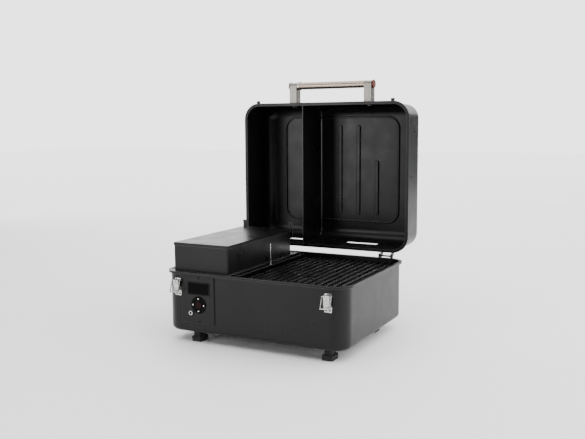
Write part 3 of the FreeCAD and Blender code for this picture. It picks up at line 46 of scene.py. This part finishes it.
# ---- node-graph tools ---------------------------------------------------------------------------
class Graph:
    """A material's node tree with short ways to add and join nodes."""

    def __init__(self, name):
        self.material = bpy.data.materials.new(name)
        self.material.use_nodes = True
        self.tree = self.material.node_tree
        self.shader = self.tree.nodes["Principled BSDF"]
        self.coords = self.add("ShaderNodeTexCoord").outputs["Object"]

    def add(self, kind, **values):
        node = self.tree.nodes.new(kind)
        for key, value in values.items():
            setattr(node, key, value)
        return node

    def join(self, source, target):
        self.tree.links.new(source, target)

    def stretched(self, x, y, z):
        """Object coordinates scaled along each axis."""
        mapping = self.add("ShaderNodeMapping")
        mapping.inputs["Scale"].default_value = (x, y, z)
        self.join(self.coords, mapping.inputs["Vector"])
        return mapping.outputs["Vector"]

    def noise(self, scale, detail=3.0, rough=0.55, vector=None):
        node = self.add("ShaderNodeTexNoise")
        node.inputs["Scale"].default_value = scale
        node.inputs["Detail"].default_value = detail
        node.inputs["Roughness"].default_value = rough
        self.join(vector or self.coords, node.inputs["Vector"])
        return node.outputs["Fac"]

    def spread(self, value, low, high, start=0.0, end=1.0):
        """Maps value from start..end to low..high."""
        node = self.add("ShaderNodeMapRange")
        for key, number in (("From Min", start), ("From Max", end), ("To Min", low), ("To Max", high)):
            node.inputs[key].default_value = number
        self.join(value, node.inputs["Value"])
        return node.outputs["Result"]

    def blend(self, factor, first, second):
        """A colour between two; each is a plain colour or another node's output."""
        node = self.add("ShaderNodeMix", data_type="RGBA")
        for socket, value in ((node.inputs[6], first), (node.inputs[7], second)):
            if isinstance(value, tuple):
                socket.default_value = (*value, 1.0)
            else:
                self.join(value, socket)
        self.join(factor, node.inputs[0])
        return node.outputs[2]

    def bump(self, height, distance, strength=1.0, normal=None):
        node = self.add("ShaderNodeBump")
        node.inputs["Strength"].default_value = strength
        node.inputs["Distance"].default_value = distance
        self.join(height, node.inputs["Height"])
        if normal is not None:
            self.join(normal, node.inputs["Normal"])
        return node.outputs["Normal"]

    def edges(self, radius):
        """1 on edges, 0 on flat faces, from the angle between plain and rounded normals."""
        bevel = self.add("ShaderNodeBevel", samples=6)
        bevel.inputs["Radius"].default_value = radius
        geometry = self.add("ShaderNodeNewGeometry")
        dot = self.add("ShaderNodeVectorMath", operation="DOT_PRODUCT")
        self.join(bevel.outputs["Normal"], dot.inputs[0])
        self.join(geometry.outputs["Normal"], dot.inputs[1])
        return self.spread(dot.outputs["Value"], 1.0, 0.0, 0.80, 0.99)

    def finish(self, **sockets):
        for key, value in sockets.items():
            socket = self.shader.inputs[key.replace("_", " ")]
            if isinstance(value, bpy.types.NodeSocket):
                self.join(value, socket)
            elif isinstance(value, tuple) and len(value) == 3:
                socket.default_value = (*value, 1.0)
            else:
                socket.default_value = value
        return self.material


def enamel(name, base, dust_wear_and_highlight, rough, grain_size=900.0, grain=0.00004, gloss=0.2):
    """Powder-coated sheet: fine orange-peel grain, faint mottling, a film of dust, and convex edges
    painted pale, partly wear and partly a painted highlight.
    """
    g = Graph(name)
    mottle = g.noise(9.0, 4.0)
    colour = g.blend(g.spread(mottle, 0.0, 1.0, 0.35, 0.7), base, tuple(c * 1.25 for c in base))
    colour = g.blend(g.spread(g.noise(5.0, 2.0), 0.0, 0.012, 0.45, 0.75), colour, dust_wear_and_highlight)
    # Convex edges blended to the pale colour: partly edge wear, mostly a painted highlight standing in
    # for the light line along the rims.
    colour = g.blend(g.edges(0.0016), colour, dust_wear_and_highlight)
    roughness = g.spread(g.noise(24.0, 2.0), rough - 0.03, rough + 0.05, 0.3, 0.7)
    peel = g.bump(g.noise(grain_size, 1.0, 0.5), grain, 0.25)
    normal = g.bump(g.noise(grain_size * 0.22, 1.0), grain, 0.2, peel)
    return g.finish(Base_Color=colour, Roughness=roughness, Normal=normal, Specular_IOR_Level=gloss)


def brushed(name, base, dark, rough, scale, depth=0.00006):
    """Steel brushed along one axis; scale is stretched so that the lines run along the small value."""
    g = Graph(name)
    lines = g.noise(1.0, 5.0, 0.7, g.stretched(*scale))
    broad = g.noise(14.0, 3.0)
    colour = g.blend(g.spread(lines, 0.0, 1.0, 0.3, 0.7), dark, base)
    colour = g.blend(g.spread(broad, 0.0, 0.25, 0.4, 0.8), colour, dark)
    roughness = g.spread(lines, rough - 0.07, rough + 0.12, 0.25, 0.75)
    normal = g.bump(lines, depth, 0.6)
    return g.finish(Base_Color=colour, Metallic=1.0, Roughness=roughness, Normal=normal)


def polished(name, base, rough, ripple=0.0001):
    """Plated metal with faint smears and pits, over sheet that the press left slightly wavy."""
    g = Graph(name)
    smear = g.noise(60.0, 4.0, 0.6)
    roughness = g.spread(smear, rough * 0.7, rough * 1.8, 0.3, 0.7)
    pits = g.spread(g.noise(420.0, 2.0), 0.0, 0.5, 0.62, 0.72)
    colour = g.blend(pits, base, tuple(c * 0.55 for c in base))
    waves = g.bump(g.noise(130.0, 1.0), ripple, 0.6)
    normal = g.bump(g.noise(700.0, 2.0), 0.00003, 0.4, waves)
    return g.finish(Base_Color=colour, Metallic=1.0, Roughness=roughness, Normal=normal)


def moulded(name, base, rough, grain=0.00008, scale=1400.0, gloss=0.3):
    """Moulded plastic or rubber with a fine spark-eroded grain."""
    g = Graph(name)
    tone = g.noise(30.0, 3.0)
    colour = g.blend(g.spread(tone, 0.0, 1.0, 0.3, 0.7), base, tuple(c * 1.35 for c in base))
    # Convex edges painted lighter than the body: a painted edge highlight.
    colour = g.blend(g.edges(0.0006), colour, tuple(min(1.0, c * 2.0 + 0.004) for c in base))
    roughness = g.spread(g.noise(45.0, 3.0), rough - 0.05, rough + 0.07, 0.3, 0.7)
    normal = g.bump(g.noise(scale, 2.0), grain, 0.6)
    return g.finish(Base_Color=colour, Roughness=roughness, Normal=normal, Specular_IOR_Level=gloss)


def sheet_metal(name, base, dark, rough, tint=None):
    """Plain galvanised or heat-stained sheet."""
    g = Graph(name)
    spangle = g.add("ShaderNodeTexVoronoi")
    spangle.inputs["Scale"].default_value = 120.0
    g.join(g.coords, spangle.inputs["Vector"])
    colour = g.blend(g.spread(spangle.outputs["Distance"], 0.0, 0.6, 0.0, 0.7), base, dark)
    if tint:
        colour = g.blend(g.spread(g.noise(16.0, 4.0), 0.0, 0.8, 0.4, 0.7), colour, tint)
    roughness = g.spread(g.noise(80.0, 3.0), rough - 0.06, rough + 0.12, 0.3, 0.7)
    normal = g.bump(g.noise(300.0, 3.0), 0.00006, 0.5)
    return g.finish(Base_Color=colour, Metallic=0.9, Roughness=roughness, Normal=normal)


def porcelain(name):
    """Glossy black enamel over iron: soft lumps under a clear skin."""
    g = Graph(name)
    burnt = g.spread(g.noise(40.0, 4.0), 0.0, 1.0, 0.35, 0.7)
    colour = g.blend(burnt, (0.003, 0.003, 0.0032), (0.009, 0.0085, 0.008))
    roughness = g.spread(g.noise(30.0, 2.0), 0.26, 0.34, 0.35, 0.7)
    normal = g.bump(g.noise(60.0, 1.0), 0.00005, 0.1)
    return g.finish(Base_Color=colour, Roughness=roughness, Normal=normal, Specular_IOR_Level=0.3)


# ---- materials of the CAD nodes -----------------------------------------------------------------
# Pale colour for the enamel's dust film and edges; on the edges it is partly wear and partly a painted
# highlight.
DUST_WEAR_AND_HIGHLIGHT = (0.10, 0.096, 0.092)
LOOKS = {
    "enamel": enamel("enamel", (0.0035, 0.0035, 0.0037), DUST_WEAR_AND_HIGHLIGHT, 0.30),
    # A slightly darker copy of the enamel for the inner parts: painted shade.
    "enamel_inner_painted_shade": enamel("enamel_inner_painted_shade", (0.003, 0.003, 0.0032), DUST_WEAR_AND_HIGHLIGHT, 0.30),
    "hinge_paint": enamel("hinge_paint", (0.003, 0.003, 0.003), (0.03, 0.028, 0.027), 0.36,
                          grain_size=1400.0, grain=0.00005, gloss=0.14),
    "zinc": polished("zinc", (0.52, 0.51, 0.49), 0.3),
    "posts": brushed("posts", (0.30, 0.285, 0.262), (0.12, 0.112, 0.10), 0.34, (260.0, 260.0, 14.0)),
    "bar": brushed("bar", (0.52, 0.44, 0.37), (0.20, 0.15, 0.12), 0.30, (10.0, 300.0, 300.0)),
    "collar": brushed("collar", (0.55, 0.50, 0.45), (0.30, 0.27, 0.24), 0.3, (14.0, 700.0, 700.0)),
    "cap": enamel("cap", (0.085, 0.022, 0.015), (0.20, 0.09, 0.06), 0.36, 1100.0, 0.00005),
    "chrome": polished("chrome", (0.42, 0.42, 0.41), 0.09, 0.0022),
    "wire": polished("wire", (0.30, 0.30, 0.30), 0.10),
    "rubber": moulded("rubber", (0.010, 0.010, 0.010), 0.72, 0.00012, 900.0),
    "panel": moulded("panel", (0.010, 0.010, 0.0105), 0.42, 0.00007),
    "glass": moulded("glass", (0.0006, 0.0006, 0.0007), 0.12, 0.000003, 300.0, 0.04),
    "bezel": moulded("bezel", (0.0016, 0.0016, 0.0016), 0.40, 0.00003, 1400.0, 0.10),
    "dial": moulded("dial", (0.0009, 0.0009, 0.0009), 0.45, 0.00004, 1400.0, 0.05),
    "key": moulded("key", (0.0014, 0.0014, 0.0014), 0.5, 0.00005, 1400.0, 0.06),
    "key_red": moulded("key_red", (0.009, 0.0026, 0.0024), 0.45, 0.00003, 1200.0, 0.06),
    "mark": moulded("mark", (0.78, 0.78, 0.76), 0.45, 0.00002),
    "board": moulded("board", (0.015, 0.09, 0.035), 0.35, 0.00004),
    "sheet": sheet_metal("sheet", (0.50, 0.51, 0.52), (0.36, 0.37, 0.38), 0.36),
    "heat": sheet_metal("heat", (0.34, 0.31, 0.28), (0.20, 0.18, 0.17), 0.42, (0.22, 0.13, 0.08)),
    "motor": sheet_metal("motor", (0.42, 0.42, 0.43), (0.30, 0.30, 0.31), 0.3),
    "auger": brushed("auger", (0.50, 0.48, 0.45), (0.24, 0.21, 0.18), 0.36, (40.0, 500.0, 500.0)),
    "probe": brushed("probe", (0.70, 0.70, 0.70), (0.5, 0.5, 0.5), 0.2, (600.0, 600.0, 20.0)),
    "iron": porcelain("iron"),
    "tray": porcelain("tray"),
}
SLOT_LOOKS = {
    "black_enamel": "enamel", "inner_black": "enamel_inner_painted_shade", "hinge_black": "hinge_paint",
    "pin_steel": "hinge_paint", "brushed_posts": "posts", "bar_steel": "bar", "collar_steel": "collar",
    "cap_copper": "cap", "latch_chrome": "chrome", "bail_wire": "wire", "foot_rubber": "rubber",
    "panel_black": "enamel", "window_glass": "glass", "bezel_grey": "bezel", "dial_plastic": "dial",
    "key_black": "key", "key_red": "key_red", "socket_metal": "chrome", "board_green": "board",
    "sheet_steel": "sheet", "heat_steel": "heat", "auger_steel": "auger", "motor_metal": "motor",
    "igniter_steel": "probe", "tray_steel": "tray", "grate_iron": "iron", "probe_steel": "probe",
    "fan_plastic": "panel", "inlet_plastic": "panel",
}


def dress_nodes():
    for part in frame["record"]["subparts"]:
        node = NODES[part["node"]]
        look = LOOKS[SLOT_LOOKS[part["material_slot"]]]
        if not node.material_slots:
            node.data.materials.append(look)
        for holder in node.material_slots:
            holder.material = look


# ---- modelled pieces (metres) -------------------------------------------------------------------
SHARP_ANGLE = math.radians(35)
KEY_MARK_SIZE, KEY_MARK_SOFT = (0.0038, 0.0006, 0.0024), 0.00028
RECESS_SIZE, RECESS_SOFT = (0.0032, 0.0003, 0.0007), 0.0001
RECESS_FROM_END, RECESS_ASIDE, RECESS_TURN = 0.0032, 0.0008, 0.3
WIDE_SEAM, WIDE_SEAM_DEEP, WIDE_SEAM_ASIDE, WIDE_SEAM_SOFT = 0.0030, 0.0014, 0.0012, 0.0003
THIN_SEAM, THIN_SEAM_ASIDE, THIN_SEAM_SOFT = 0.0010, 0.0002, 0.0002
POST_SCREW_RADIUS, POST_SCREW_FLAT = 0.0046, 0.35
POST_SCREW_IN_X, POST_SCREW_IN_Y = 0.0115, 0.008
LID_SHEET, POST_SCREW_DROP = 0.0015, 0.0011


def piece(name, mesh, look, body):
    """Turns a bmesh into an object that rides on a body."""
    bmesh.ops.recalc_face_normals(mesh, faces=mesh.faces)
    data = bpy.data.meshes.new(name)
    mesh.to_mesh(data)
    mesh.free()
    data.materials.append(LOOKS[look])
    for face in data.polygons:
        face.use_smooth = True
    data.set_sharp_from_angle(angle=SHARP_ANGLE)
    made = bpy.data.objects.new(name, data)
    bpy.context.scene.collection.objects.link(made)
    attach(made, body)
    return made


def bar(mesh, centre, size, soft, turn=0.0):
    """Adds a block with rounded edges, turned about Y."""
    place = Matrix.Translation(centre) @ Matrix.Rotation(turn, 4, "Y") @ Matrix.Diagonal((*size, 1.0))
    made = bmesh.ops.create_cube(mesh, size=1.0, matrix=place)
    edges = list({e for v in made["verts"] for e in v.link_edges})
    bmesh.ops.bevel(mesh, geom=edges, offset=soft, offset_type="OFFSET", affect="EDGES", segments=2,
                    profile=0.5, material=-1, clamp_overlap=True)


def front_of(node):
    """Middle of a node's front face."""
    low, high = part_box(node)
    return Vector(((low.x + high.x) / 2, low.y, (low.z + high.z) / 2))


def key_marks():
    """One raised white tick on each of the four outer buttons."""
    for name, turn in (("up", 0.0), ("down", 0.0), ("left", math.pi / 2), ("right", math.pi / 2)):
        mesh = bmesh.new()
        bar(mesh, front_of("button_" + name), KEY_MARK_SIZE, KEY_MARK_SOFT, turn)
        piece("mark_" + name, mesh, "mark", "button_" + name + "_key")


def screw_slots():
    """A dark cross on each panel screw, set a hair proud of its head: painted shade standing in for the
    cross recess.
    """
    low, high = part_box("panel_screws")
    mesh = bmesh.new()
    for z in (high.z - RECESS_FROM_END, low.z + RECESS_FROM_END):
        x = (low.x + high.x) / 2 + (RECESS_ASIDE if z < (low.z + high.z) / 2 else -RECESS_ASIDE)
        for turn in (RECESS_TURN, RECESS_TURN + math.pi / 2):
            bar(mesh, Vector((x, low.y, z)), RECESS_SIZE, RECESS_SOFT, turn)
    piece("screw_recess_shade", mesh, "painted_shade", "tub")


def panel_gap_shade():
    """A dark strip down the right side of the control panel and a thin one down its left: painted shade
    standing in for the gap around the panel.
    """
    low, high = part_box("control_panel")
    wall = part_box("display_window")[1].y
    mid_z, tall = (low.z + high.z) / 2, high.z - low.z
    mesh = bmesh.new()
    bar(mesh, Vector((high.x + WIDE_SEAM_ASIDE, wall, mid_z)),
        (WIDE_SEAM, WIDE_SEAM_DEEP, tall), WIDE_SEAM_SOFT)
    bar(mesh, Vector((low.x - THIN_SEAM_ASIDE, wall, mid_z)),
        (THIN_SEAM, THIN_SEAM, tall), THIN_SEAM_SOFT)
    piece("panel_gap_shade", mesh, "painted_shade", "tub")


def handle_screws():
    """Button-head screws where the lid's front wall holds each handle post, seen inside the lid."""
    low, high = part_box("handle_posts")
    mesh = bmesh.new()
    for x in (low.x + POST_SCREW_IN_X, high.x - POST_SCREW_IN_X):
        for y in (low.y + POST_SCREW_IN_Y, high.y - POST_SCREW_IN_Y):
            place = Matrix.Translation((x, y, low.z - LID_SHEET - POST_SCREW_DROP))
            flat = Matrix.Diagonal((1.0, 1.0, POST_SCREW_FLAT, 1.0))
            bmesh.ops.create_uvsphere(mesh, u_segments=24, v_segments=12, radius=POST_SCREW_RADIUS,
                                      matrix=place @ flat)
    piece("handle_screws", mesh, "zinc", "lid")


# ---- room, light and camera (metres, watts) -----------------------------------------------------
FLOOR_HALF = 14.0
SKY_STRENGTH = 3.0
GRILL_MIDDLE = (0.0, 0.0, 0.35)
SENSOR_WIDTH = 36.0


def plain(name, colour, rough):
    g = Graph(name)
    shade = g.blend(g.spread(g.noise(2.0), 0.0, 1.0), colour, tuple(c * 0.985 for c in colour))
    return g.finish(Base_Color=shade, Roughness=rough)


# Matte black for the dark strips set in gaps and recesses: painted shade.
LOOKS["painted_shade"] = moulded("painted_shade", (0.0015, 0.0015, 0.0015), 0.8)
LOOKS["card"] = plain("card", (0.01, 0.01, 0.01), 0.9)
LOOKS["floor"] = plain("floor", (0.93, 0.93, 0.93), 0.7)


def floor():
    mesh = bmesh.new()
    bmesh.ops.create_grid(mesh, x_segments=8, y_segments=8, size=FLOOR_HALF)
    data = bpy.data.meshes.new("floor")
    mesh.to_mesh(data)
    mesh.free()
    data.materials.append(LOOKS["floor"])
    ground = bpy.data.objects.new("floor", data)
    bpy.context.scene.collection.objects.link(ground)


def aim(thing, place, target):
    thing.location = place
    thing.rotation_euler = (Vector(target) - Vector(place)).to_track_quat("-Z", "Y").to_euler()


def softbox(name, place, target, size, power):
    lamp = bpy.data.lights.new(name, "AREA")
    lamp.shape = "RECTANGLE"
    lamp.size, lamp.size_y = size
    lamp.energy = power
    holder = bpy.data.objects.new(name, lamp)
    bpy.context.scene.collection.objects.link(holder)
    aim(holder, place, target)


def lights():
    world = bpy.data.worlds.new("room")
    bpy.context.scene.world = world
    world.use_nodes = True
    sky = world.node_tree.nodes["Background"]
    sky.inputs["Color"].default_value = (1.0, 1.0, 1.0, 1.0)
    sky.inputs["Strength"].default_value = SKY_STRENGTH
    softbox("key", (2.6, -0.4, 1.5), GRILL_MIDDLE, (1.6, 2.0), 14.0)
    softbox("panel_glow", (-1.5, -2.9, 0.75), (0.1, 0.2, 0.45), (1.1, 1.4), 40.0)


def card(name, place, turn, size):
    """A black card that shades one side of the grill and is seen only in reflections."""
    mesh = bmesh.new()
    upright = Matrix.Rotation(turn, 4, "Z") @ Matrix.Rotation(math.pi / 2, 4, "X")
    put = Matrix.Translation(place) @ upright
    bmesh.ops.create_grid(mesh, x_segments=1, y_segments=1, size=0.5,
                          matrix=put @ Matrix.Diagonal((*size, 1.0, 1.0)))
    data = bpy.data.meshes.new(name)
    mesh.to_mesh(data)
    mesh.free()
    data.materials.append(LOOKS["card"])
    made = bpy.data.objects.new(name, data)
    bpy.context.scene.collection.objects.link(made)
    made.visible_camera = False


def cards():
    card("card_front", (0.0, -3.6, 2.0), 0.0, (9.0, 4.0))
    card("card_left", (-3.0, -1.2, 2.0), math.pi / 2, (4.8, 4.0))
    card("card_back", (2.1, 4.0, 0.7), 0.0, (2.6, 1.3))


CAMERA_PLACE = Vector((0.9438, -1.8623, 0.5654))
CAMERA_TURN = math.radians(-27.33)
CAMERA_TILT = math.radians(-7.05)
CAMERA_ROLL = math.radians(-0.34)
CAMERA_LENS = 46.2


def camera():
    lens = bpy.data.cameras.new("camera")
    lens.lens = CAMERA_LENS
    lens.sensor_width = SENSOR_WIDTH
    lens.dof.use_dof = False
    holder = bpy.data.objects.new("camera", lens)
    bpy.context.scene.collection.objects.link(holder)
    turn = Matrix.Rotation(-CAMERA_TURN, 4, "Z") @ Matrix.Rotation(math.pi / 2 + CAMERA_TILT, 4, "X")
    holder.matrix_world = Matrix.Translation(CAMERA_PLACE) @ turn @ Matrix.Rotation(CAMERA_ROLL, 4, "Z")
    bpy.context.scene.camera = holder


dress_nodes()
key_marks()
screw_slots()
panel_gap_shade()
handle_screws()
floor()
lights()
cards()
camera()
